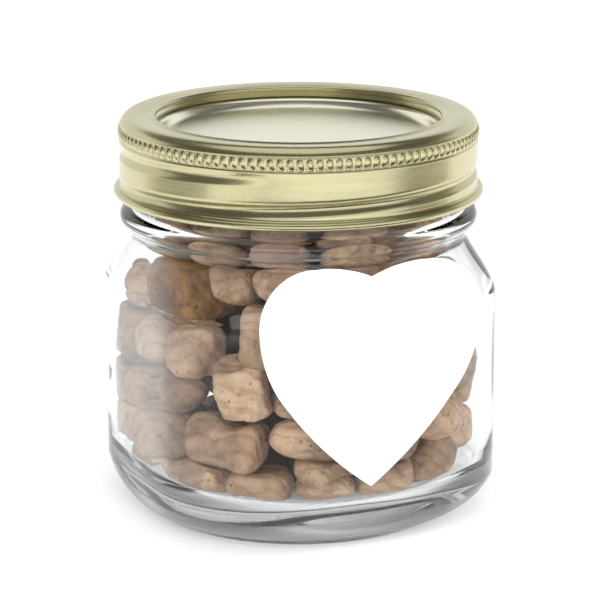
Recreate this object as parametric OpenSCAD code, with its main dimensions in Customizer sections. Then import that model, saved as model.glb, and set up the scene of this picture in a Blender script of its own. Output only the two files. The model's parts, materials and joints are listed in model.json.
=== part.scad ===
// A square-bodied glass jar with a two-piece screw closure, a heart label and chunks kept inside it.
// The jar stands on the XY plane with its axis on Z, and the label is on the -Y face.

/* [Jar body] */
// Distance from the axis to the middle of a side face
body_half = 35.3; // [34.5:0.1:36]
// Radius of the upright corners of the body
corner_r = 23; // [20:0.5:25]
// Height at which the rounded heel ends and the straight sides begin
heel_top = 9; // [8:0.5:10]
// Height at which the straight sides end and the shoulder begins
shoulder_z = 45.8; // [44:0.2:47]
// Thickness of the side walls
wall = 2.5; // [2.2:0.1:2.8]
// Height of the inside floor above the table
floor_z = 6; // [5:0.5:6.5]
// Outer radius of the round foot ring
foot_r = 30.2; // [29:0.1:31]

/* [Jar finish] */
// Outer radius of the neck, under the transfer bead
neck_r = 33; // [32.6:0.1:33.2]
// Height of the neck
neck_z = 55.4; // [55:0.1:56]
// Outer radius of the transfer bead
bead_r = 35.3; // [34.8:0.1:35.6]
// Radius of the finish between the threads
root_r = 33.3; // [33:0.1:33.5]
// Crest radius of the glass thread
crest_r = 34.6; // [34.4:0.1:34.6]
// Inner radius of the mouth
mouth_r = 30.2; // [29.5:0.1:30.4]
// Height of the sealing lip
lip_z = 78.15; // [78:0.05:78.15]

/* [Closure] */
// Overall height with the closure screwed down
total_h = 79.4; // [79.4:0.1:80]
// Outer radius of the screw band's skirt
skirt_r = 35.3; // [35.2:0.1:35.5]
// Depth of the rolled thread in the skirt
roll_depth = 0.7; // [0.6:0.05:0.75]
// Thickness of the band's metal
band_t = 0.35; // [0.3:0.05:0.35]
// Radius of the opening in the band's top
opening_r = 28.1; // [27.6:0.1:28.4]
// Rise of the thread in one turn
pitch = 6.2; // [6:0.05:6.4]
// Radius of the lid disc
lid_r = 33.9; // [33.7:0.1:33.9]
// Thickness of the lid disc's metal
lid_t = 0.3; // [0.25:0.05:0.3]

/* [Label] */
// Width of the heart label
label_w = 45.8; // [40:0.2:46]
// Thickness of the card
label_t = 0.3; // [0.2:0.1:0.5]
// Height of the tip of the heart
label_tip_z = 13; // [12:0.5:14]

/* [Hidden] */
$fn = 96;
overlap = 0.4;
running_gap = 0.02;

// Facets of the blown body: segments in each upright corner, and rings in the heel and the shoulder
corner_seg = 12;
heel_seg = 6;
shoulder_seg = 8;
plate_z = 1.5;
heel_r = foot_r + 0.8;
inner_heel_r = 25;
inner_heel_top = 13;

// The glass thread and the band's rolled thread are both right-handed, half a pitch apart
glass_thread_z = 72.7;
glass_thread_from = -232;
glass_thread_to = 152;
glass_thread_half_w = 1.6;
roll_z = 69.6;
roll_from = -200;
roll_to = 238;
roll_half_w = 1.7;
fade_deg = 36;
finish_rows = 16;
skirt_steps = 12;
band_seg = 60;

// Contents: a heap in six loose layers, each a row from the back left corner round the front to the right.
// The same rows, turned half a turn, fill the back, and four larger pieces fill the middle of each layer.
chunk_colors = ["#b39a80", "#a88c72", "#9c8064"];

// [shape, size, position, rotation]: shape 0 is a cut block, 1 a pebble and 2 a crescent
LAYERS = [
    [
        [0, [9, 11, 5], [-23.4, 11.2, 9.8], [0, 8, 4]],
        [0, [9.5, 11.6, 4.6], [-24.6, -1, 9.6], [0, 6, -4]],
        [0, [8, 8.5, 6.6], [-24.4, -12.8, 10.6], [0, 8, 24]],
        [0, [11, 7.5, 6.4], [-17.2, -21.4, 10.8], [0, 4, -38]],
        [1, [5.8, 4, 3.2], [-5.2, -25.2, 10.6], [0, 0, 4]],
        [0, [10.4, 8.4, 7.4], [6.4, -24.8, 11.2], [4, 0, -6]],
        [1, [6.6, 4.6, 4.4], [18, -22, 12.8], [0, -22, 24]],
    ],
    [
        [0, [9, 12, 6.8], [-27, 12, 16.6], [0, 6, 2]],
        [0, [8, 8.6, 8.4], [-27.8, 0.6, 17.8], [10, 0, 6]],
        [2, [14, 9.8, 7.5], [-22.8, -18.8, 20.5], [80, 6, -50]],
        [1, [7.4, 4, 4], [-9.4, -27, 21.6], [0, 8, -4]],
        [0, [12, 7, 3], [-5.6, -28, 15.7], [0, -4, 2]],
        [0, [11, 10, 8.6], [6.2, -26.4, 21.6], [0, 10, 6]],
        [1, [6.6, 4.6, 4.6], [18.6, -24, 22.4], [0, 20, 24]],
    ],
    [
        [0, [10, 12, 7.6], [-26.4, 11.6, 25.5], [4, -8, 0]],
        [1, [7.2, 4.4, 4.4], [-26.4, -5.2, 28.4], [0, 6, 84]],
        [0, [8.6, 9, 10], [-20.8, -22.4, 31.4], [6, -10, -32]],
        [0, [9, 8, 8.4], [-11, -27.2, 30.6], [0, 12, -8]],
        [1, [6.2, 4.6, 4.4], [1, -26.8, 31.8], [0, 12, 4]],
        [0, [8.4, 10, 8.4], [11.8, -26, 32.4], [0, -6, 10]],
        [0, [8, 8, 8.6], [21.8, -22.6, 32.8], [8, 0, 40]],
    ],
    [
        [0, [11, 12.4, 8.6], [-26, 10.6, 35.2], [0, 10, -6]],
        [0, [8.6, 7.4, 8], [-27.4, -2.2, 37.4], [0, -8, 10]],
        [0, [7.2, 6.8, 8.4], [-26.2, -13, 36.9], [0, 6, 22]],
        [0, [7.6, 8.2, 9.4], [-17.2, -24.8, 42], [0, 4, -22]],
        [0, [10.5, 9, 8.4], [-5.8, -27, 40.4], [0, -8, 4]],
        [1, [6.4, 4.6, 4.4], [7.4, -26.8, 41.6], [0, -10, 6]],
        [0, [8.8, 9, 8.2], [18.6, -24, 42.5], [0, 8, 34]],
    ],
    [
        [1, [6, 4.4, 4.4], [-26, 9.8, 45], [0, 10, 78]],
        [0, [12, 12.4, 11], [-24, -6.2, 47.8], [8, -4, 10]],
        [0, [7.6, 7.6, 7], [-20, -17.6, 50.4], [0, 16, 36]],
        [1, [6.2, 4.2, 4.2], [-12.6, -24.4, 51], [0, 8, -22]],
        [0, [9.6, 9, 8], [-0.6, -25.2, 50], [6, 0, 4]],
        [0, [9, 8.4, 7.6], [10, -23, 51], [0, 8, 12]],
    ],
    [
        [0, [8.6, 9, 7], [-21.4, 8.4, 57], [0, 18, 12]],
        [1, [6, 4.2, 4.2], [-20.2, -9.6, 58.2], [0, 6, -70]],
        [0, [9, 8, 7], [-12, -19.4, 59.2], [0, -6, -28]],
        [1, [6.2, 4.2, 4], [1.6, -22.8, 58.8], [0, 4, 4]],
        [0, [9, 8.4, 7.4], [14.2, -17.6, 59.4], [6, 0, 32]],
    ],
];
CHUNKS = [for (layer = LAYERS) each layer];
core_z = 11.6;
core_pitch = 9.4;
core_r = 11.2;
core_turn = 34;
core_size = [11, 11, 8.4];
chip = 1;

// Sizes of the rear blocks as shares of the front pieces they mirror
rear_block = 0.92;
rear_pebble = 1.55;

function two_digits(i) = str(i < 10 ? "0" : "", i);
function chunk_name(i) = str("chunk_", two_digits(i + 1));

function layer_name(kind, k) = str(kind, "_chunks_", k + 1);

// ---------------------------------------------------------------- shared functions

function chip_w(a, b) = (a + b - 2 * chip) / sqrt(2);
function lerp(a, b, t) = a + (b - a) * t;

// Points of an arc in a plane, from angle a0 to a1 in n steps
function arc(cx, cy, r, a0, a1, n) =
    [for (i = [0 : n]) let (a = lerp(a0, a1, i / n)) [cx + r * cos(a), cy + r * sin(a)]];

// One level ring of a rounded square, with the same number of points at any corner radius
function square_ring(half, r, z) = [
    for (q = [0 : 3])
    for (j = [0 : corner_seg - 1])
        let (a = 90 * (q + (j + 0.5) / corner_seg))
        let (sx = q == 0 || q == 3 ? 1 : -1)
        let (sy = q < 2 ? 1 : -1)
        [sx * (half - r) + r * cos(a), sy * (half - r) + r * sin(a), z]
];

// Triangles of a strip between ring i and ring i + 1 of n points each
function strip(i, n) = [
    for (k = [0 : n - 1])
        let (a = i * n + k)
        let (b = i * n + (k + 1) % n)
        each [[a, a + n, b + n], [a, b + n, b]]
];

// ---------------------------------------------------------------- glass jar

// The heel: a quarter round from the foot (t = 0) out to the straight side (t = 1)
function heel_ring(r0, half, r1, z0, z1, t) =
    let (w = sqrt(1 - pow(1 - t, 2)))
    square_ring(lerp(r0, half, w), lerp(r0, r1, t), lerp(z0, z1, t));

// The shoulder: the rounded square draws in and turns into the round neck
function shoulder_ring(half, r0, neck, z0, z1, t) =
    let (w = 0.6 * t + 0.4 * t * t * (3 - 2 * t))
    square_ring(lerp(half, neck, w), lerp(r0, neck, pow(t, 1.3)), lerp(z0, z1, t));

// Height of a rounded ridge of a helical thread at an angle and a height, for one of its turns
function ridge_at(turn, z, z0, from, to, half_w, height) =
    let (off = z - z0 - pitch * turn / 360)
    let (fade = min(1, (turn - from) / fade_deg, (to - turn) / fade_deg))
    abs(off) < half_w && fade > 0 ? fade * height * (1 + cos(180 * off / half_w)) / 2 : 0;

function glass_thread(angle, z) =
    ridge_at(angle - 360, z, glass_thread_z, glass_thread_from, glass_thread_to,
        glass_thread_half_w, crest_r - root_r)
    + ridge_at(angle, z, glass_thread_z, glass_thread_from, glass_thread_to,
        glass_thread_half_w, crest_r - root_r);

// One level round ring with as many points as a square ring, raised where the thread passes
function round_ring(r, z) = [
    for (k = [0 : 4 * corner_seg - 1])
        let (a = 360 * (k + 0.5) / (4 * corner_seg))
        let (rr = r + (r == root_r ? glass_thread(a, z) : 0))
        [rr * cos(a), rr * sin(a), z]
];

// Outline of the neck, the transfer bead, the finish, the sealing lip and the mouth, as [radius, height]
finish_outline = concat(
    [[neck_r, neck_z + 0.8]],
    arc(bead_r - 1.9, 59.5, 1.9, -60, 60, 6),
    [for (i = [0 : finish_rows]) [root_r, lerp(62.2, lip_z - 0.8, i / finish_rows)]],
    arc(root_r - 0.8, lip_z - 0.8, 0.8, 30, 90, 2),
    arc(mouth_r + 0.7, lip_z - 0.7, 0.7, 90, 180, 3)
);

outer_rings = concat(
    [for (i = [0 : heel_seg])
        heel_ring(heel_r, body_half, corner_r, plate_z, heel_top, i / heel_seg)],
    [for (i = [0 : shoulder_seg])
        shoulder_ring(body_half, corner_r, neck_r, shoulder_z, neck_z, i / shoulder_seg)],
    [for (p = finish_outline) round_ring(p[0], p[1])]
);
inner_rings = concat(
    [for (i = [shoulder_seg : -1 : 0])
        shoulder_ring(body_half - wall, corner_r - wall, mouth_r, shoulder_z - 0.6, neck_z,
            i / shoulder_seg)],
    [for (i = [heel_seg : -1 : 0])
        heel_ring(inner_heel_r, body_half - wall, corner_r - wall, floor_z, inner_heel_top,
            i / heel_seg)]
);

module blown_glass() {
    rings = concat(outer_rings, inner_rings);
    n = 4 * corner_seg;
    last = len(rings) - 1;
    polyhedron(
        points = [for (r = rings) each r],
        faces = concat(
            [[for (k = [0 : n - 1]) k]],
            [for (i = [0 : last - 1]) each strip(i, n)],
            [[for (k = [n - 1 : -1 : 0]) last * n + k]]
        )
    );
}

module foot_ring() {
    rotate_extrude()
        polygon(concat(
            [[26.4, plate_z + overlap], [26.4, 0.8]],
            arc(27.2, 0.8, 0.8, 180, 270, 6),
            arc(foot_r - 1.2, 1.2, 1.2, -90, 0, 8),
            [[foot_r, plate_z + overlap]]
        ));
}

module glass_jar() {
    color("#cfd8dc", 0.35) {
        blown_glass();
        foot_ring();
    }
}

// ---------------------------------------------------------------- two-piece closure

// How far the rolled thread pushes the skirt inwards at an angle and a height
function roll(angle, z) =
    ridge_at(angle - 360, z, roll_z, roll_from, roll_to, roll_half_w, roll_depth)
    + ridge_at(angle, z, roll_z, roll_from, roll_to, roll_half_w, roll_depth);

skirt_rows = [for (i = [0 : skirt_steps]) lerp(74.6, 65.8, i / skirt_steps)];
lip_mid = total_h - 0.65;

// Closed outline of the band's wall as [radius, height], from the rolled lip round the outside to the curl and back
band_outline = concat(
    arc(opening_r + 0.55, lip_mid, 0.55, 270, 90, 6),
    [[opening_r + 1.6, total_h - 0.05]],
    arc(skirt_r - 2.4, total_h - 2.4, 2.4, 90, 0, 5),
    [for (z = skirt_rows) [skirt_r, z]],
    arc(skirt_r + 0.4, total_h - 14.9, 0.8, 110, -180, 7),
    [for (i = [skirt_steps : -1 : 0]) [skirt_r - band_t, skirt_rows[i]]],
    arc(skirt_r - 2.4, total_h - 2.4, 2.4 - band_t, 0, 90, 5),
    [[opening_r + 1.6, total_h - band_t]]
);

function band_point(p, angle) =
    let (r = p[0] - roll(angle, p[1]))
    [r * cos(angle), r * sin(angle), p[1]];

module screw_band() {
    n = len(band_outline);
    points = [
        for (i = [0 : band_seg - 1])
        for (p = band_outline)
            band_point(p, i * 360 / band_seg)
    ];
    faces = [
        for (i = [0 : band_seg - 1])
        for (k = [0 : n - 1])
            let (a = i * n + k)
            let (b = i * n + (k + 1) % n)
            let (c = ((i + 1) % band_seg) * n + (k + 1) % n)
            let (d = ((i + 1) % band_seg) * n + k)
            each [[a, d, c], [a, c, b]]
    ];
    color("#d9d5a8")
        polyhedron(points = points, faces = faces);
}

// Pressed disc: flat rim over the glass, a short skirt at its edge and a panel that dips into the mouth
module lid_disc() {
    rim_top = total_h - band_t - 0.05;
    panel_top = total_h - 3.65;
    t = lid_t;
    color("#e3e0cc")
        rotate_extrude()
            polygon([
                [0, panel_top],
                [24.2, panel_top],
                [25, panel_top - 0.5],
                [26, panel_top - 0.5],
                [27.2, panel_top + 1.2],
                [28.6, panel_top + 1.4],
                [29.9, rim_top],
                [lid_r - 0.9, rim_top],
                [lid_r, rim_top - 0.7],
                [lid_r, rim_top - 1],
                [lid_r - t, rim_top - 1],
                [lid_r - t, rim_top - 0.7],
                [lid_r - 1, rim_top - t],
                [30.1, rim_top - t],
                [28.8, panel_top + 1.4 - t],
                [27.4, panel_top + 1.2 - t],
                [26.2, panel_top - 0.5 - t],
                [24.9, panel_top - 0.5 - t],
                [24.1, panel_top - t],
                [0, panel_top - t]
            ]);
}

// Ring of soft compound flowed into the rim of the lid
module sealing_ring() {
    low = lip_z + running_gap;
    high = total_h - band_t - 0.05 - lid_t;
    color("#8c4a3a")
        translate([0, 0, low])
            difference() {
                cylinder(h = high - low, r = 32.8);
                translate([0, 0, -1])
                    cylinder(h = high - low + 2, r = 30.8);
            }
}

// ---------------------------------------------------------------- label

// Flat heart, w wide, with its point down at the origin
module heart(w) {
    lobe_r = 0.23 * w;
    lobe_x = w / 2 - lobe_r;
    lobe_y = 0.725 * w;
    arch_r = 0.576 * w;
    arch_x = 0.24 * w;
    side_r = 0.568 * w;
    join_y = 0.36 * w;
    intersection_for (side = [-1, 1]) {
        intersection() {
            translate([side * 0.915 * w, 1.306 * w])
                circle(r = 1.594 * w);
            translate([-w / 2, 0])
                square([w, join_y]);
        }
    }
    intersection() {
        translate([w / 2 - side_r, lobe_y])
            circle(r = side_r);
        translate([side_r - w / 2, lobe_y])
            circle(r = side_r);
        translate([-w / 2, join_y])
            square([w, lobe_y - join_y]);
    }
    for (side = [-1, 1]) {
        translate([side * lobe_x, lobe_y])
            circle(r = lobe_r);
        intersection() {
            translate([side * arch_x, lobe_y + lobe_r - arch_r])
                circle(r = arch_r);
            translate([(side - 1) * arch_x / 2, join_y])
                square([arch_x, w]);
        }
    }
}

module heart_label() {
    color("white")
        translate([0, -body_half, label_tip_z])
            rotate([90, 0, 0])
                linear_extrude(label_t)
                    heart(label_w);
}

// ---------------------------------------------------------------- contents

// A broken block: a box with its corners and edges rounded off by a ball
module cut_block(size) {
    intersection() {
        cube(size, center = true);
        sphere(r = 0.41 * norm(size));
    }
}

// A pebble: half an ellipse turned about its long axis, then cut flat along one side
module pebble(size) {
    half_len = size[0];
    girth = size[1];
    intersection() {
        rotate([0, 90, 0])
            rotate_extrude()
                polygon([for (a = [-90 : 9 : 90]) [girth * cos(a), half_len * sin(a)]]);
        translate([0, 0, size[2] - girth])
            cube([3 * half_len, 3 * girth, 2 * girth], center = true);
    }
}

// A crescent: a slice of a round bar, flat on two sides, with a round bite out of a third
module crescent(size) {
    linear_extrude(size[2], center = true)
        difference() {
            intersection() {
                square([size[0], size[1]], center = true);
                circle(r = 0.44 * norm([size[0], size[1]]));
            }
            translate([0.14 * size[0], 0.71 * size[1]])
                circle(r = 0.46 * size[1]);
        }
}

module chunk(c) {
    translate(c[2])
        rotate(c[3])
            if (c[0] == 0)
                cut_block(c[1]);
            else if (c[0] == 1)
                pebble(c[1]);
            else
                crescent(c[1]);
}

module front_chunk(i) {
    color(chunk_colors[i % 3])
        chunk(CHUNKS[i]);
}

// A plain block with chipped edges, for the pieces that can't be seen
module chipped_block(size) {
    intersection() {
        cube(size, center = true);
        rotate([45, 0, 0])
            cube([size[0] + 1, chip_w(size[1], size[2]), chip_w(size[1], size[2])], center = true);
        rotate([0, 45, 0])
            cube([chip_w(size[0], size[2]), size[1] + 1, chip_w(size[0], size[2])], center = true);
        rotate([0, 0, 45])
            cube([chip_w(size[0], size[1]), chip_w(size[0], size[1]), size[2] + 1], center = true);
    }
}

module rear_chunks(k) {
    color(chunk_colors[k % 3])
        rotate([0, 0, 180])
            for (c = LAYERS[k])
                translate(c[2])
                    rotate(c[3])
                        chipped_block(c[0] == 1 ? rear_pebble * c[1] : rear_block * c[1]);
}

module core_chunks(k) {
    color(chunk_colors[(k + 1) % 3])
        for (q = [0 : 3])
            rotate([0, 0, 90 * q + core_turn * k])
                translate([core_r, 0, core_z + core_pitch * k])
                    chipped_block(core_size);
}

glass_jar();
screw_band();
lid_disc();
sealing_ring();
heart_label();
for (i = [0 : len(CHUNKS) - 1])
    front_chunk(i);
for (k = [0 : len(LAYERS) - 1])
    rear_chunks(k);
for (k = [0 : len(LAYERS) - 1])
    core_chunks(k);
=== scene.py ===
import json
import math

import bpy
import numpy as np
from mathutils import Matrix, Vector, noise


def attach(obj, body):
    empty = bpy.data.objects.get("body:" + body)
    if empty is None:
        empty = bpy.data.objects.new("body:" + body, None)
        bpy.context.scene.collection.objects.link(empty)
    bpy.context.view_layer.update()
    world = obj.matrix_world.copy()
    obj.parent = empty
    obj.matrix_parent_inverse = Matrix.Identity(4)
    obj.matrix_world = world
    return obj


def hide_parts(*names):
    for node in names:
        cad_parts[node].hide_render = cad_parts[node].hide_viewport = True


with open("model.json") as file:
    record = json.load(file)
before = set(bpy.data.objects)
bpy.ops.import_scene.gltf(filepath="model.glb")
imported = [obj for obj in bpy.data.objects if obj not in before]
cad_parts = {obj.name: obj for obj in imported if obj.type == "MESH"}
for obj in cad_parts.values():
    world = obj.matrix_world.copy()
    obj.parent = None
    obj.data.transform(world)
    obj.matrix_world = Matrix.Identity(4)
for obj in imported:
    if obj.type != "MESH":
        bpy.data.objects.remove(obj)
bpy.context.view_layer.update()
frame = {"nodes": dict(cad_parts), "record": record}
MM = 0.001

# ---------------------------------------------------------------- camera

CAM_AZ = 23.0
CAM_PITCH = 14.52
CAM_DIST = 0.6076
CAM_HEIGHT = 0.1987
CAM_LENS = 188.9
CAM_SHIFT = 0.0025

cam_data = bpy.data.cameras.new("camera")
cam_data.sensor_width = 36
cam_data.lens = CAM_LENS
cam_data.shift_x = CAM_SHIFT
cam_data.clip_start = 0.05
cam = bpy.data.objects.new("camera", cam_data)
bpy.context.scene.collection.objects.link(cam)
cam.location = (
    -CAM_DIST * math.sin(math.radians(CAM_AZ)),
    -CAM_DIST * math.cos(math.radians(CAM_AZ)),
    CAM_HEIGHT,
)
cam.rotation_euler = (math.radians(90 - CAM_PITCH), 0, -math.radians(CAM_AZ))
bpy.context.scene.camera = cam

# ---------------------------------------------------------------- mesh helpers


def add_object(name, mesh, material, body, slot, *nodes):
    """A new piece that stands for CAD nodes and rides on a body."""
    obj = bpy.data.objects.new(name, mesh)
    bpy.context.scene.collection.objects.link(obj)
    mesh.materials.clear()
    mesh.materials.append(material)
    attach(obj, body)
    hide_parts(*nodes)
    return obj


def grid_mesh(name, points, close_rows, cap_ends):
    """A mesh from an array of rows of points, in millimetres. Each row is closed on itself."""
    rows, cols = points.shape[:2]
    i = np.arange(rows if close_rows else rows - 1)[:, None]
    k = np.arange(cols)[None, :]
    a = i * cols + k
    b = i * cols + (k + 1) % cols
    c = ((i + 1) % rows) * cols + (k + 1) % cols
    d = ((i + 1) % rows) * cols + k
    faces = np.stack([a, b, c, d], axis=-1).reshape(-1, 4).tolist()
    if cap_ends:
        faces.append(list(range(cols - 1, -1, -1)))
        faces.append([(rows - 1) * cols + j for j in range(cols)])
    mesh = bpy.data.meshes.new(name)
    mesh.from_pydata((points.reshape(-1, 3) * MM).tolist(), [], faces)
    mesh.shade_smooth()
    mesh.validate()
    return mesh


def arc(cx, cy, r, a0, a1, n):
    """n + 1 points of an arc, angles in degrees."""
    t = np.radians(np.linspace(a0, a1, n + 1))
    return [(cx + r * math.cos(x), cy + r * math.sin(x)) for x in t]


def soften(points, rounds, closed):
    """Corner cutting, which rounds the corners of a polyline."""
    p = np.array(points, float)
    for _ in range(rounds):
        q = np.roll(p, -1, axis=0) if closed else p[1:]
        o = p if closed else p[:-1]
        cut = np.empty((2 * len(o), 2))
        cut[0::2] = 0.75 * o + 0.25 * q
        cut[1::2] = 0.25 * o + 0.75 * q
        p = cut if closed else np.vstack([p[:1], cut, p[-1:]])
    return p


def turn_profile(name, profile, segs, push=None):
    """A closed outline of (radius, height) turned about Z. push gives how far each point moves outwards."""
    p = np.array(profile, float)
    angle = np.linspace(0, 360, segs, endpoint=False)
    a = np.radians(angle)[None, :]
    r = np.repeat(p[:, :1], segs, axis=1)
    z = np.repeat(p[:, 1:2], segs, axis=1)
    if push is not None:
        r = r + push(angle[None, :], r, z)
    points = np.stack([r * np.cos(a), r * np.sin(a), z], axis=-1)
    return grid_mesh(name, points, close_rows=True, cap_ends=False)


# ---------------------------------------------------------------- sizes, as in the CAD model

BODY_HALF, CORNER_R, HEEL_TOP, SHOULDER_Z, WALL = 35.3, 23.0, 9.0, 45.8, 2.5
FLOOR_Z, FOOT_R, HEEL_R, PLATE_Z = 6.0, 30.2, 31.0, 1.5
NECK_R, NECK_Z, BEAD_R, ROOT_R, CREST_R = 33.0, 55.4, 35.3, 33.3, 34.6
MOUTH_R, LIP_Z = 30.2, 78.15
TOTAL_H, SKIRT_R, ROLL_DEPTH, BAND_T, OPENING_R, PITCH = 79.4, 35.3, 0.7, 0.35, 28.1, 6.2
LID_R, LID_T = 33.9, 0.3
INNER_HEEL_R, INNER_HEEL_TOP = 25.0, 13.0
INNER_HALF, INNER_CORNER_R, INNER_SHOULDER_Z = BODY_HALF - WALL, CORNER_R - WALL, SHOULDER_Z - 0.6

THREAD_FADE = 36


def ridge(angle, z, z0, start, end, half_w, height):
    """Height of a rounded helical ridge, which fades out at both ends. start and end are in degrees."""
    total = 0
    for turn in (angle - 360, angle):
        off = z - z0 - PITCH * turn / 360
        fade = np.clip(np.minimum((turn - start) / THREAD_FADE, (end - turn) / THREAD_FADE), 0, 1)
        total = total + np.where(
            np.abs(off) < half_w, fade * height * (1 + np.cos(np.pi * off / half_w)) / 2, 0
        )
    return total


def glass_ridge(angle, z):
    return ridge(angle, z, z0=72.7, start=-232, end=152, half_w=1.6, height=CREST_R - ROOT_R)


def rolled_ridge(angle, z):
    return ridge(angle, z, z0=69.6, start=-200, end=238, half_w=1.7, height=ROLL_DEPTH)


# ---------------------------------------------------------------- material helpers


class Maker:
    """Short calls for building one node material."""

    def __init__(self, name):
        self.mat = bpy.data.materials.new(name)
        self.mat.use_nodes = True
        self.nodes = self.mat.node_tree.nodes
        self.links = self.mat.node_tree.links
        self.bsdf = self.nodes["Principled BSDF"]
        self.coord = self.nodes.new("ShaderNodeTexCoord").outputs["Object"]

    def link(self, a, b):
        self.links.new(a, b)

    def noise(self, scale, detail=4, rough=0.5, distortion=0.0, stretch=None):
        node = self.nodes.new("ShaderNodeTexNoise")
        node.inputs["Scale"].default_value = scale
        node.inputs["Detail"].default_value = detail
        node.inputs["Roughness"].default_value = rough
        node.inputs["Distortion"].default_value = distortion
        self.link(self.stretched(stretch), node.inputs["Vector"])
        return node.outputs["Fac"]

    def stretched(self, stretch):
        if stretch is None:
            return self.coord
        node = self.nodes.new("ShaderNodeMapping")
        node.inputs["Scale"].default_value = stretch
        self.link(self.coord, node.inputs["Vector"])
        return node.outputs["Vector"]

    def wave(self, scale, distortion, detail_scale):
        node = self.nodes.new("ShaderNodeTexWave")
        node.bands_direction = "DIAGONAL"
        node.inputs["Scale"].default_value = scale
        node.inputs["Distortion"].default_value = distortion
        node.inputs["Detail Scale"].default_value = detail_scale
        self.link(self.coord, node.inputs["Vector"])
        return node.outputs["Fac"]

    def pits(self, scale):
        node = self.nodes.new("ShaderNodeTexVoronoi")
        node.inputs["Scale"].default_value = scale
        self.link(self.coord, node.inputs["Vector"])
        return node.outputs["Distance"]

    def ramp(self, fac, stops):
        node = self.nodes.new("ShaderNodeValToRGB")
        ramp = node.color_ramp
        while len(ramp.elements) < len(stops):
            ramp.elements.new(0.5)
        for element, (position, colour) in zip(ramp.elements, stops):
            element.position = position
            element.color = (*colour, 1) if len(colour) == 3 else (colour[0],) * 3 + (1,)
        self.link(fac, node.inputs["Fac"])
        return node.outputs["Color"]

    def mix(self, fac, a, b, mode="MIX"):
        node = self.nodes.new("ShaderNodeMix")
        node.data_type = "RGBA"
        node.blend_type = mode
        for value, socket in ((fac, node.inputs[0]), (a, node.inputs[6]), (b, node.inputs[7])):
            if hasattr(value, "links"):
                self.link(value, socket)
            elif isinstance(value, float):
                socket.default_value = value
            else:
                socket.default_value = (*value, 1)
        return node.outputs[2]

    def math(self, op, a, b):
        node = self.nodes.new("ShaderNodeMath")
        node.operation = op
        for value, socket in ((a, node.inputs[0]), (b, node.inputs[1])):
            if hasattr(value, "links"):
                self.link(value, socket)
            else:
                socket.default_value = value
        return node.outputs[0]

    def bump(self, height, distance, strength=1.0):
        node = self.nodes.new("ShaderNodeBump")
        node.inputs["Distance"].default_value = distance
        node.inputs["Strength"].default_value = strength
        self.link(height, node.inputs["Height"])
        self.link(node.outputs["Normal"], self.bsdf.inputs["Normal"])

    def set(self, **values):
        for key, value in values.items():
            self.bsdf.inputs[key.replace("_", " ")].default_value = value


STIPPLE_TOP = 0.0026
BASE_TOP = 0.0065


def glass_material():
    """Clear glass, slightly wavy, with a rippled base and a stippled underside.

    The specular tint halves straight-on reflections, so that the contents show clearly.
    """
    m = Maker("clear_glass")
    m.set(IOR=1.5, Transmission_Weight=1.0, Specular_Tint=(0.5, 0.5, 0.5, 1))
    drift = m.noise(34, detail=1)
    tint = m.ramp(drift, [(0.3, (0.94, 0.965, 0.975)), (0.7, (0.965, 0.98, 0.985))])
    m.link(tint, m.bsdf.inputs["Base Color"])
    split = m.nodes.new("ShaderNodeSeparateXYZ")
    m.link(m.coord, split.inputs[0])
    bottom = m.math("LESS_THAN", split.outputs["Z"], STIPPLE_TOP)
    stipple = m.math("MULTIPLY", m.math("MULTIPLY", m.noise(1100, detail=2), bottom), 0.9)
    base = m.math("LESS_THAN", split.outputs["Z"], BASE_TOP)
    m.link(m.math("MULTIPLY", base, 0.3), m.bsdf.inputs["Roughness"])
    ripple = m.math("MULTIPLY", m.math("MULTIPLY", m.noise(330, detail=2), base), 0.8)
    wave = m.noise(70, detail=1, stretch=(1, 1, 0.45))
    m.bump(m.math("ADD", wave, m.math("ADD", stipple, ripple)), 0.0004, 0.35)
    return m.mat


def band_material():
    m = Maker("pale_gold_band")
    m.set(Metallic=1.0)
    cloud = m.noise(60, detail=3)
    gold = m.ramp(cloud, [(0.25, (0.57, 0.535, 0.31)), (0.75, (0.62, 0.585, 0.36))])
    m.link(gold, m.bsdf.inputs["Base Color"])
    haze = m.noise(900, detail=2, stretch=(0.05, 0.05, 1))
    m.link(m.ramp(haze, [(0.2, (0.2,)), (0.8, (0.3,))]), m.bsdf.inputs["Roughness"])
    m.bump(m.noise(2600, detail=2), 0.00003, 0.5)
    return m.mat


def lid_material():
    m = Maker("matte_gold_lid")
    m.set(Metallic=1.0)
    cloud = m.noise(40, detail=3)
    gold = m.ramp(cloud, [(0.25, (0.93, 0.90, 0.71)), (0.75, (0.96, 0.94, 0.77))])
    m.link(gold, m.bsdf.inputs["Base Color"])
    haze = m.noise(60, detail=3)
    m.link(m.ramp(haze, [(0.2, (0.24,)), (0.8, (0.28,))]), m.bsdf.inputs["Roughness"])
    m.bump(m.noise(3500, detail=2), 0.00002, 0.5)
    return m.mat


def compound_material():
    m = Maker("red_compound")
    red = m.ramp(m.noise(300, detail=3), [(0.3, (0.22, 0.07, 0.05)), (0.7, (0.3, 0.1, 0.07))])
    m.link(red, m.bsdf.inputs["Base Color"])
    m.set(Roughness=0.45)
    m.bump(m.noise(1200), 0.00004, 0.5)
    return m.mat


def label_material():
    m = Maker("white_card")
    fibre = m.noise(900, detail=5, stretch=(1, 1, 0.4))
    white = m.ramp(fibre, [(0.2, (0.93, 0.93, 0.93)), (0.8, (0.96, 0.96, 0.96))])
    m.link(white, m.bsdf.inputs["Base Color"])
    m.set(Roughness=0.6)
    m.bump(fibre, 0.00003, 0.4)
    return m.mat


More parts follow.
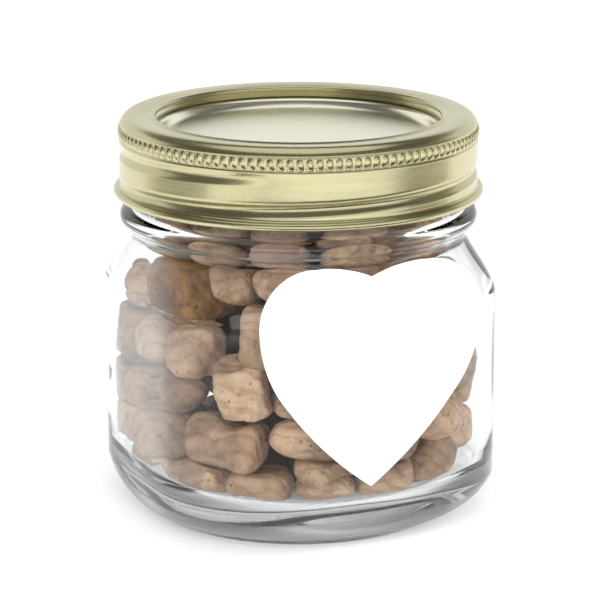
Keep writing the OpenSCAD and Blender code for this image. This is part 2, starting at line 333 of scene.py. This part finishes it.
def chunk_material(name, light, dark, deep):
    """Dry, layered and pitted: broad mottling, distorted layers, pits in painted shade, fine speckles and
    pale dust.
    """
    m = Maker(name)
    mottled = m.ramp(m.noise(120, detail=6, rough=0.6, distortion=0.3), [(0.36, dark), (0.56, light)])
    wave = m.wave(150, 5, 1.1)
    layers = m.ramp(wave, [(0.0, (0.62, 0.56, 0.51)), (0.3, (0.96, 0.95, 0.94)), (1.0, (1.0, 1.0, 1.0))])
    colour = m.mix(0.6, mottled, layers, "MULTIPLY")
    pits = m.ramp(m.pits(560), [(0.1, (1, 1, 1)), (0.22, (0, 0, 0))])
    patches = m.ramp(m.noise(260, detail=2), [(0.42, (0, 0, 0)), (0.6, (1, 1, 1))])
    pits = m.math("MULTIPLY", pits, patches)
    # Pits are dents in the bump, and the deep brown mixed into them is painted shade.
    colour = m.mix(m.math("MULTIPLY", pits, 0.6), colour, deep)
    specks = m.ramp(m.noise(1700, detail=3, rough=0.7), [(0.6, (0, 0, 0)), (0.68, (1, 1, 1))])
    colour = m.mix(m.math("MULTIPLY", specks, 0.5), colour, deep)
    dust = m.ramp(m.noise(520, detail=5, rough=0.75), [(0.56, (0, 0, 0)), (0.7, (1, 1, 1))])
    colour = m.mix(m.math("MULTIPLY", dust, 0.4), colour, tuple(min(1, 1.5 * c) for c in light))
    m.link(colour, m.bsdf.inputs["Base Color"])
    m.set(Roughness=0.8)
    grain = m.math("ADD", m.noise(800, detail=5, rough=0.6), m.math("MULTIPLY", wave, 0.5))
    m.bump(m.math("SUBTRACT", grain, m.math("MULTIPLY", pits, 0.8)), 0.0004, 0.7)
    return m.mat


# ---------------------------------------------------------------- glass jar

RING = 256
EASE_PASSES = 40
HEEL_RINGS = 18
# Above 1, the heel's rings are closest together low down, where it curves most
HEEL_SPACING = 1.6
SHOULDER_RINGS = 24
# Above 1, the corner radius changes later than the width does
CORNER_POWER = 1.3


def square_ring(half, r, z):
    """One level ring of a rounded square, evenly spaced along its outline from the middle of the +X side.

    Blown glass bends gradually into its corners, so each flat is eased into its corners.
    """
    r = min(r, half)
    flat = half - r
    quarter = 2 * flat + math.pi * r / 2
    along = np.arange(RING) / RING * 4 * quarter
    q = np.floor(along / quarter)
    d = along - q * quarter
    turn = np.clip((d - flat) / max(r, 1e-9), 0, math.pi / 2)
    x = np.where(d > flat + math.pi * r / 2, flat - (d - flat - math.pi * r / 2), flat) + r * np.cos(turn)
    y = np.minimum(d, flat) + r * np.sin(turn)
    a = q * math.pi / 2
    ring = np.stack([x * np.cos(a) - y * np.sin(a), x * np.sin(a) + y * np.cos(a)], axis=-1)
    if flat > 0.01:
        for _ in range(EASE_PASSES):
            ring = (np.roll(ring, 1, axis=0) + 2 * ring + np.roll(ring, -1, axis=0)) / 4
        ring *= half / ring[0, 0]
    return np.column_stack([ring, np.full(RING, float(z))])


def mixed(a, b, t):
    return a + (b - a) * t


def heel(r0, half, r1, z0, z1, t):
    """Half width, corner radius and height at share t of the way up the heel."""
    w = math.sqrt(max(0, 1 - (1 - t) ** 2))
    return mixed(r0, half, w), mixed(r0, r1, t), mixed(z0, z1, t)


def shoulder_share(t):
    """How far the shoulder has drawn in at share t of its height."""
    return 0.6 * t + 0.4 * t * t * (3 - 2 * t)


def shoulder(half, r0, neck, z0, z1, t):
    """Half width, corner radius and height at share t of the way up the shoulder."""
    return mixed(half, neck, shoulder_share(t)), mixed(r0, neck, t**CORNER_POWER), mixed(z0, z1, t)


def round_ring(r, z, ridged=False):
    angle = 360 * np.arange(RING) / RING
    rr = r + (glass_ridge(angle, z) if ridged else 0)
    a = np.radians(angle)
    return np.stack([rr * np.cos(a), rr * np.sin(a), np.full(RING, float(z))], axis=-1)


def jar_rings():
    """The jar's surface in rings: up the outside from the middle of its base, and down the inside."""
    rings = []
    # Pushed-up base and foot ring
    for r, z in [(0.8, 1.7), (8, 1.72), (16, 1.7), (22, 1.62), (25, 1.5)] + arc(25.9, 1.0, 0.5, 90, 0, 4):
        rings.append(round_ring(r, z))
    for r, z in arc(27.3, 0.9, 0.9, 180, 270, 6) + arc(FOOT_R - 1.3, 1.3, 1.3, -90, -8, 8):
        rings.append(round_ring(r, z))
    # Heel, sides and shoulder
    for i in range(1, HEEL_RINGS + 1):
        t = (i / HEEL_RINGS) ** HEEL_SPACING
        rings.append(square_ring(*heel(HEEL_R - 0.4, BODY_HALF, CORNER_R, PLATE_Z, HEEL_TOP, t)))
    for z in np.linspace(HEEL_TOP, SHOULDER_Z, 9)[1:-1]:
        rings.append(square_ring(BODY_HALF, CORNER_R, z))
    for i in range(SHOULDER_RINGS + 1):
        t = i / SHOULDER_RINGS
        rings.append(square_ring(*shoulder(BODY_HALF, CORNER_R, NECK_R, SHOULDER_Z, NECK_Z, t)))
    # Neck, transfer bead, thread and lip
    rings.append(round_ring(NECK_R, NECK_Z + 0.8))
    for r, z in arc(BEAD_R - 1.9, 59.5, 1.9, -66, 66, 12):
        rings.append(round_ring(r, z))
    for z in np.linspace(61.8, LIP_Z - 0.9, 48):
        rings.append(round_ring(ROOT_R, z, ridged=True))
    lip_outside = arc(ROOT_R - 0.9, LIP_Z - 0.9, 0.9, 15, 90, 5)
    lip_inside = arc(MOUTH_R + 0.8, LIP_Z - 0.8, 0.8, 90, 180, 6)
    for r, z in lip_outside + lip_inside:
        rings.append(round_ring(r, z))
    # Inside, from the mouth down to the floor
    for z in np.linspace(LIP_Z - 3, NECK_Z + 1, 6):
        rings.append(round_ring(MOUTH_R, z))
    for i in range(SHOULDER_RINGS, -1, -1):
        t = i / SHOULDER_RINGS
        rings.append(square_ring(*shoulder(INNER_HALF, INNER_CORNER_R, MOUTH_R, INNER_SHOULDER_Z, NECK_Z, t)))
    for z in np.linspace(INNER_SHOULDER_Z, INNER_HEEL_TOP, 8)[1:-1]:
        rings.append(square_ring(INNER_HALF, INNER_CORNER_R, z))
    for i in range(HEEL_RINGS, 0, -1):
        t = (i / HEEL_RINGS) ** HEEL_SPACING
        rings.append(
            square_ring(*heel(INNER_HEEL_R, INNER_HALF, INNER_CORNER_R, FLOOR_Z, INNER_HEEL_TOP, t))
        )
    for r, z in [(24, FLOOR_Z), (16, FLOOR_Z + 0.1), (8, FLOOR_Z + 0.2), (0.8, FLOOR_Z + 0.25)]:
        rings.append(round_ring(r, z))
    return np.array(rings)


jar_mesh = grid_mesh("blown_jar", jar_rings(), close_rows=False, cap_ends=True)
add_object("blown_jar", jar_mesh, glass_material(), "jar", "glass", "glass_jar")

# ---------------------------------------------------------------- screw band

BEADS = 120
BEAD_Z = 76.25
BEAD_HALF_H = 1.2
BEAD_HALF_W = 0.38
BEAD_PUSH = 0.44
BEADED_R, BEADED_Z = (35.1, 35.14), (75.05, 77.4)
SKIRT_Z = (65, 74.8)


def band_profile():
    """The band's wall, from the rolled lip over the outside to the curl, and back up the inside."""
    lip = arc(OPENING_R + 0.55, TOTAL_H - 0.65, 0.55, 290, 75, 12)
    top = [(29.25, 79.06), (29.7, 79.12), (30.4, 79.24), (31.3, 79.34), (32.1, 79.37)]
    bend = arc(SKIRT_R - 2.4, TOTAL_H - 2.4, 2.36, 88, 24, 10)
    groove = [(35.16, 77.78), (35.12, 77.6), (35.06, 77.5), (35.14, 77.42)]
    beads = [(35.12, z) for z in np.linspace(77.38, 75.1, 13)]
    below = [(35.14, 75.04), (35.06, 74.96), (35.16, 74.86), (35.28, 74.7)]
    skirt = [(SKIRT_R, z) for z in np.linspace(74.5, 65.9, 48)]
    curl = arc(SKIRT_R + 0.38, 64.5, 0.8, 112, -150, 16)
    inside = [(SKIRT_R - BAND_T, z) for z in np.linspace(65.2, 74.5, 36)]
    inner_bend = arc(SKIRT_R - 2.4, TOTAL_H - 2.4, 2.4 - BAND_T, 0, 90, 8)
    back = [(31, 79.04), (OPENING_R + 1.6, 78.95), (OPENING_R + 1.1, 78.8)]
    return lip + top + bend + groove + beads + below + skirt + curl + inside + inner_bend + back


def within(values, span):
    return (values > span[0]) & (values < span[1])


def band_push(angle, r, z):
    """Presses the rolled thread in and the row of beads out. BEAD_HALF_W is a share of their spacing."""
    turn = (angle * BEADS / 360) % 1 - 0.5
    across = (turn / BEAD_HALF_W) ** 2 + ((z - BEAD_Z) / BEAD_HALF_H) ** 2
    dome = np.sqrt(np.clip(1 - across, 0, 1))
    beaded = within(r, BEADED_R) & within(z, BEADED_Z)
    skirt = within(z, SKIRT_Z) & (r < SKIRT_R + 0.1)
    return np.where(beaded, BEAD_PUSH * dome, 0) - np.where(skirt, rolled_ridge(angle, z), 0)


add_object(
    "screw_band_sheet",
    turn_profile("screw_band_sheet", band_profile(), BEADS * 9, band_push),
    band_material(),
    "band",
    "band_metal",
    "screw_band",
)

# ---------------------------------------------------------------- lid and its seal

PANEL_DEPTH = 3.65
LID_RIM_Z = TOTAL_H - BAND_T - 0.06


def under_radius(r):
    """Where a point of the lid's top goes on its underside, so that the steps keep their thickness."""
    if r > 33:
        return r - 0.18
    return r + 0.15 if r > 24.5 else r


def lid_profile():
    """A flat rim that steps down to a groove and the sunken panel, and the same again underneath."""
    rim = LID_RIM_Z
    panel = TOTAL_H - PANEL_DEPTH
    top = [
        (0.02, panel), (12, panel), (23.4, panel), (24.2, panel), (24.9, panel - 0.5), (26.1, panel - 0.5),
        (26.7, panel + 0.2), (27.2, panel + 1.2), (28.6, panel + 1.4), (29.3, rim - 0.6), (29.9, rim),
        (31.5, rim), (LID_R - 0.7, rim), (LID_R, rim - 0.7), (LID_R, rim - 1),
    ]
    under = [(under_radius(r), z - LID_T) for r, z in reversed(top[:-2])]
    return np.vstack([soften(top, 3, False), soften([(LID_R - LID_T, rim - 1)] + under, 2, False)])


add_object(
    "pressed_lid",
    turn_profile("pressed_lid", lid_profile(), 256),
    lid_material(),
    "lid",
    "lid_metal",
    "lid_disc",
)

SEAL_IN, SEAL_OUT = 30.8, 32.8
SEAL_LOW, SEAL_HIGH = LIP_Z + 0.02, LID_RIM_Z - LID_T
seal_outline = [(SEAL_IN, SEAL_LOW), (SEAL_OUT, SEAL_LOW), (SEAL_OUT, SEAL_HIGH), (SEAL_IN, SEAL_HIGH)]
add_object(
    "soft_seal",
    turn_profile("soft_seal", soften(seal_outline, 3, True), 192),
    compound_material(),
    "lid",
    "compound",
    "sealing_ring",
)

# ---------------------------------------------------------------- label

LABEL_EDGE = 0.08
label_mesh = frame["nodes"]["heart_label"].data.copy()
label_mesh.name = "heart_card"
label = add_object("heart_card", label_mesh, label_material(), "jar", "label", "heart_label")
edge = label.modifiers.new("edge", "BEVEL")
edge.width = LABEL_EDGE * MM
edge.segments = 3
edge.limit_method = "ANGLE"

# ---------------------------------------------------------------- contents

INSIDE_GAP = 0.3


def inner_wall(z):
    """Half width and corner radius of the jar's inside at heights z, in millimetres."""
    half = np.full_like(z, INNER_HALF)
    r = np.full_like(z, INNER_CORNER_R)
    t = np.clip((z - FLOOR_Z) / (INNER_HEEL_TOP - FLOOR_Z), 0, 1)
    low = z < INNER_HEEL_TOP
    half = np.where(low, mixed(INNER_HEEL_R, half, np.sqrt(1 - (1 - t) ** 2)), half)
    r = np.where(low, mixed(INNER_HEEL_R, r, t), r)
    t = np.clip((z - INNER_SHOULDER_Z) / (NECK_Z - INNER_SHOULDER_Z), 0, 1)
    high = z > INNER_SHOULDER_Z
    half = np.where(high, mixed(half, MOUTH_R, shoulder_share(t)), half)
    r = np.where(high, mixed(r, MOUTH_R, t**CORNER_POWER), r)
    return half, r


def keep_inside(p):
    """Pulls points that are closer to the glass than the gap back inside."""
    p[:, 2] = np.maximum(p[:, 2], FLOOR_Z + INSIDE_GAP)
    half, r = inner_wall(p[:, 2])
    r = np.minimum(r, half)
    for _ in range(3):
        away = np.abs(p[:, :2]) - (half - r)[:, None]
        out = np.maximum(away, 0)
        length = np.linalg.norm(out, axis=1)
        dist = length + np.minimum(away.max(axis=1), 0) - r
        over = np.clip(dist + INSIDE_GAP, 0, None)
        corner = length > 1e-6
        axis = np.zeros_like(out)
        axis[corner] = out[corner] / length[corner, None]
        flat = ~corner
        axis[flat, 0] = away[flat, 0] >= away[flat, 1]
        axis[flat, 1] = 1 - axis[flat, 0]
        p[:, :2] -= np.sign(p[:, :2]) * axis * over[:, None]
    return p


# Waves per millimetre and height in millimetres of the lumps, from broad to fine
LUMPS = ((0.16, 1.1), (0.42, 0.22), (1.1, 0.08))
PIT_WAVES, PIT_START, PIT_DEPTH = 0.8, 0.3, 1.1


def lumpy(node, voxel, swell, seed, rounds):
    """A rounded, swollen, lumpy and pitted version of a CAD node's mesh, kept inside the glass."""
    source = frame["nodes"][node].data.copy()
    temp = bpy.data.objects.new("temp", source)
    bpy.context.scene.collection.objects.link(temp)
    grid = temp.modifiers.new("grid", "REMESH")
    grid.mode = "VOXEL"
    grid.voxel_size = voxel * MM
    grid.use_smooth_shade = True
    smooth = temp.modifiers.new("smooth", "SMOOTH")
    smooth.factor = 0.6
    smooth.iterations = rounds
    graph = bpy.context.evaluated_depsgraph_get()
    mesh = bpy.data.meshes.new_from_object(temp.evaluated_get(graph))
    bpy.data.objects.remove(temp)
    count = len(mesh.vertices)
    p = np.empty(3 * count)
    n = np.empty(3 * count)
    mesh.vertices.foreach_get("co", p)
    mesh.vertices.foreach_get("normal", n)
    p = p.reshape(-1, 3) / MM
    n = n.reshape(-1, 3)
    shift = Vector((seed * 3.7, seed * 1.3, seed * 2.1))
    push = np.empty(count)
    for i, v in enumerate(p.tolist()):
        v = Vector(v)
        lumps = sum((height * noise.noise(v * waves + shift) for waves, height in LUMPS), swell)
        push[i] = lumps - PIT_DEPTH * max(0, noise.noise(v * PIT_WAVES - shift) - PIT_START)
    p = keep_inside(p + n * push[:, None])
    mesh.vertices.foreach_set("co", (p * MM).ravel())
    mesh.update()
    mesh.shade_smooth()
    mesh.name = node + "_lump"
    return mesh


# A light and a dark brown for the mottling, and a deep one for the painted shade in pits and for specks
CHUNK_BROWNS = {
    "chunk_light": ((0.70, 0.475, 0.31), (0.40, 0.245, 0.155), (0.10, 0.05, 0.03)),
    "chunk_mid": ((0.58, 0.385, 0.245), (0.30, 0.18, 0.11), (0.08, 0.04, 0.025)),
    "chunk_dark": ((0.45, 0.285, 0.175), (0.22, 0.13, 0.08), (0.07, 0.035, 0.022)),
}
CHUNK_LOOKS = {name: chunk_material(name, *browns) for name, browns in CHUNK_BROWNS.items()}
GOLDEN = chunk_material("chunk_golden", (0.36, 0.18, 0.05), (0.15, 0.065, 0.02), (0.05, 0.02, 0.01))
# Painted shade: the hidden core chunks get a near-black brown, so that the gaps between chunks read dark.
CORE_PAINTED_SHADE = chunk_material("chunk_shaded", (0.11, 0.05, 0.028), (0.07, 0.03, 0.016), (0.035, 0.014, 0.008))

SINGLE_VOXEL, SINGLE_SWELL = 0.42, 0.5
GROUP_VOXEL, REAR_SWELL, CORE_SWELL = 0.8, 0.95, 1.5
SMOOTHING = 4
EXTRA_SMOOTHING = {"chunk_10": 70, "chunk_30": 24}


def chunk_mesh(node, seed):
    """Chunks on show get a finer mesh, and the core is swollen most, to fill the gaps between the others."""
    if node.startswith("chunk_"):
        return lumpy(node, SINGLE_VOXEL, SINGLE_SWELL, seed, EXTRA_SMOOTHING.get(node, SMOOTHING))
    return lumpy(node, GROUP_VOXEL, CORE_SWELL if node.startswith("core") else REAR_SWELL, seed, SMOOTHING)


def chunk_look(node, slot):
    """One chunk is golden, and the core gets painted shade, darker than the rest, so that gaps in the heap
    read dark.
    """
    if node == "chunk_30":
        return GOLDEN
    return CORE_PAINTED_SHADE if node.startswith("core") else CHUNK_LOOKS[slot]


for count, part in enumerate(frame["record"]["subparts"]):
    node, slot = part["node"], part["material_slot"]
    if "chunk" in node:
        add_object(node + "_lump", chunk_mesh(node, count), chunk_look(node, slot), "jar", slot, node)

# ---------------------------------------------------------------- studio

FLOOR_HALF = 3
FLOOR_GREY, FLOOR_GLOW = (0.78, 0.78, 0.78), 0.22
CARD_BLACK = (0.03, 0.03, 0.03)
CARD_TINT = (1.0, 0.92, 0.7)
CARD_ROWS, CARD_COLS = 9, 49
CARD_LIFT = 0.001


def studio_material(name, colour, strength, tint=(1, 1, 1)):
    m = Maker(name)
    brighter = tuple(min(1, c * 1.01) for c in colour)
    m.link(m.ramp(m.noise(3, detail=2), [(0.3, colour), (0.7, brighter)]), m.bsdf.inputs["Base Color"])
    m.set(Roughness=0.9)
    m.bsdf.inputs["Emission Color"].default_value = (*tint, 1)
    m.bsdf.inputs["Emission Strength"].default_value = strength
    return m.mat


def studio_surface(name, points, faces, material):
    mesh = bpy.data.meshes.new(name)
    mesh.from_pydata(points, [], faces)
    mesh.materials.append(material)
    obj = bpy.data.objects.new(name, mesh)
    bpy.context.scene.collection.objects.link(obj)
    return obj


def level_rectangle(x0, x1, y0, y1, z):
    return [(x0, y0, z), (x1, y0, z), (x1, y1, z), (x0, y1, z)]


floor = studio_surface(
    "floor",
    level_rectangle(-FLOOR_HALF, FLOOR_HALF, -FLOOR_HALF, FLOOR_HALF, 0),
    [(0, 1, 2, 3)],
    studio_material("floor_white", FLOOR_GREY, FLOOR_GLOW),
)


def area_light(name, place, target, size, power):
    """A soft panel that lights the scene but leaves no hot spot in the metal or the glass."""
    data = bpy.data.lights.new(name, "AREA")
    data.shape = "RECTANGLE"
    data.size, data.size_y = size
    data.energy = power
    obj = bpy.data.objects.new(name, data)
    bpy.context.scene.collection.objects.link(obj)
    obj.location = place
    obj.rotation_euler = (Vector(place) - Vector(target)).to_track_quat("Z", "Y").to_euler()
    obj.visible_glossy = False


LIGHT_TARGET = (0, 0, 0.03)
area_light("front_panel", (-0.55, -0.95, 0.55), LIGHT_TARGET, size=(1.3, 0.9), power=15)
area_light("side_panel", (0.95, -0.35, 0.5), LIGHT_TARGET, size=(0.8, 0.8), power=5)


def reflected_only(obj):
    """Makes an object one that only reflections see, as a studio's dark cards are kept out of the picture."""
    obj.visible_camera = False
    obj.visible_diffuse = False
    obj.visible_transmission = False
    obj.visible_shadow = False


def card_ring(name, radius, low, high, start, end, strength):
    """Part of a dome between two elevations and two azimuths (degrees from +X)."""
    e = np.radians(np.linspace(low, high, CARD_ROWS))
    a = np.radians(np.linspace(start, end, CARD_COLS))
    ee, aa = np.meshgrid(e, a, indexing="ij")
    points = radius * np.stack([np.cos(ee) * np.cos(aa), np.cos(ee) * np.sin(aa), np.sin(ee)], axis=-1)
    corners = [i * CARD_COLS + j for i in range(CARD_ROWS - 1) for j in range(CARD_COLS - 1)]
    faces = [(c, c + 1, c + CARD_COLS + 1, c + CARD_COLS) for c in corners]
    material = studio_material(name, CARD_BLACK, strength, CARD_TINT)
    reflected_only(studio_surface(name, points.reshape(-1, 3).tolist(), faces, material))


def floor_card(name, x0, x1, y0, y1, strength):
    points = level_rectangle(x0, x1, y0, y1, CARD_LIFT)
    material = studio_material(name, CARD_BLACK, strength, CARD_TINT)
    reflected_only(studio_surface(name, points, [(0, 1, 2, 3)], material))


card_ring("black_cards", radius=1.6, low=33, high=60, start=0, end=360, strength=0.06)
card_ring("left_flag", radius=1.5, low=-2, high=33, start=150, end=215, strength=0.1)
card_ring("right_flag", radius=1.5, low=-2, high=33, start=-40, end=5, strength=0.2)

# The front card keeps the front glass clear, and the side cards shade both sides of the band
floor_card("front_card", -0.2, 0.26, -0.22, -0.075, strength=0.06)
floor_card("left_card", -0.5, -0.24, -0.06, 0.22, strength=0.22)
floor_card("right_card", 0.22, 0.42, -0.32, -0.04, strength=0.3)

world = bpy.data.worlds.new("world")
world.use_nodes = True
world.node_tree.nodes["Background"].inputs["Color"].default_value = (1, 1, 1, 1)
world.node_tree.nodes["Background"].inputs["Strength"].default_value = 0.95
bpy.context.scene.world = world
bpy.context.scene.view_settings.view_transform = "Standard"
